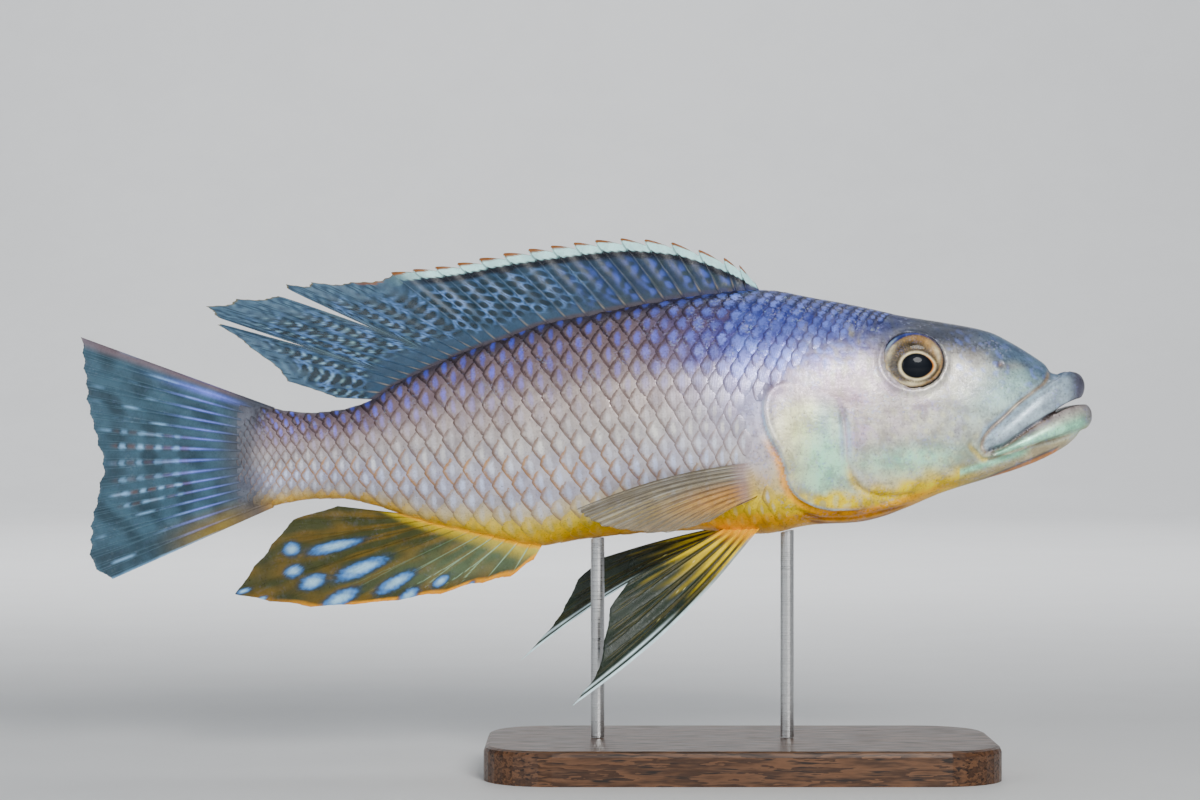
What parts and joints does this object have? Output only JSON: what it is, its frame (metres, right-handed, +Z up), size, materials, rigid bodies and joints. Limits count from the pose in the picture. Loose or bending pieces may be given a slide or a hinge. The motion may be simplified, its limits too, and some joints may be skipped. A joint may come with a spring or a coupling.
{
  "type": "museum model of a predatory lake cichlid on a display stand",
  "caption": "Life-size still model of a big-mouthed Malawi cichlid with spread fins and overlapping scales, held level on two rods over a flat base.",
  "frame": {"origin": "centre of the flat underside of the stand's base", "axes": "+X forward, to the fish's snout; +Y to the fish's left; +Z up"},
  "size_m": [0.2992, 0.08, 0.1578],
  "materials": {
    "skin": "scaly skin, pearly and wet, violet-blue above, silver-beige on the flank and yellow-orange below",
    "dorsal_fin": "thin dark slate-blue web over ridged rays, with a white band and a red-brown rim along the top",
    "anal_fin": "thin olive-orange web over ridged rays, with pale blue egg spots",
    "caudal_fin": "thin slate web over branched rays, with pale blue streaks and rows of small spots",
    "pelvic_fin": "thin olive web, yellow at the root, with a white-blue leading edge",
    "pectoral_fin": "clear thin web over fine dark rays",
    "eye": "wet clear cornea over a silver-gold iris and a black pupil",
    "stand_base": "dark oiled hardwood",
    "stand_rod": "brushed steel rod"
  },
  "bodies": {
    "root": {"head": "skin", "lower_jaw": "skin", "gill_cover_left": "skin", "gill_cover_right": "skin", "torso": "skin", "tail_stem": "skin", "dorsal_fin": "dorsal_fin", "anal_fin": "anal_fin", "caudal_fin": "caudal_fin", "pelvic_fin_left": "pelvic_fin", "pelvic_fin_right": "pelvic_fin", "pectoral_fin_left": "pectoral_fin", "pectoral_fin_right": "pectoral_fin", "eye_left": "eye", "eye_right": "eye", "stand_base": "stand_base", "stand_rod_front": "stand_rod", "stand_rod_rear": "stand_rod"}
  },
  "joints": []
}
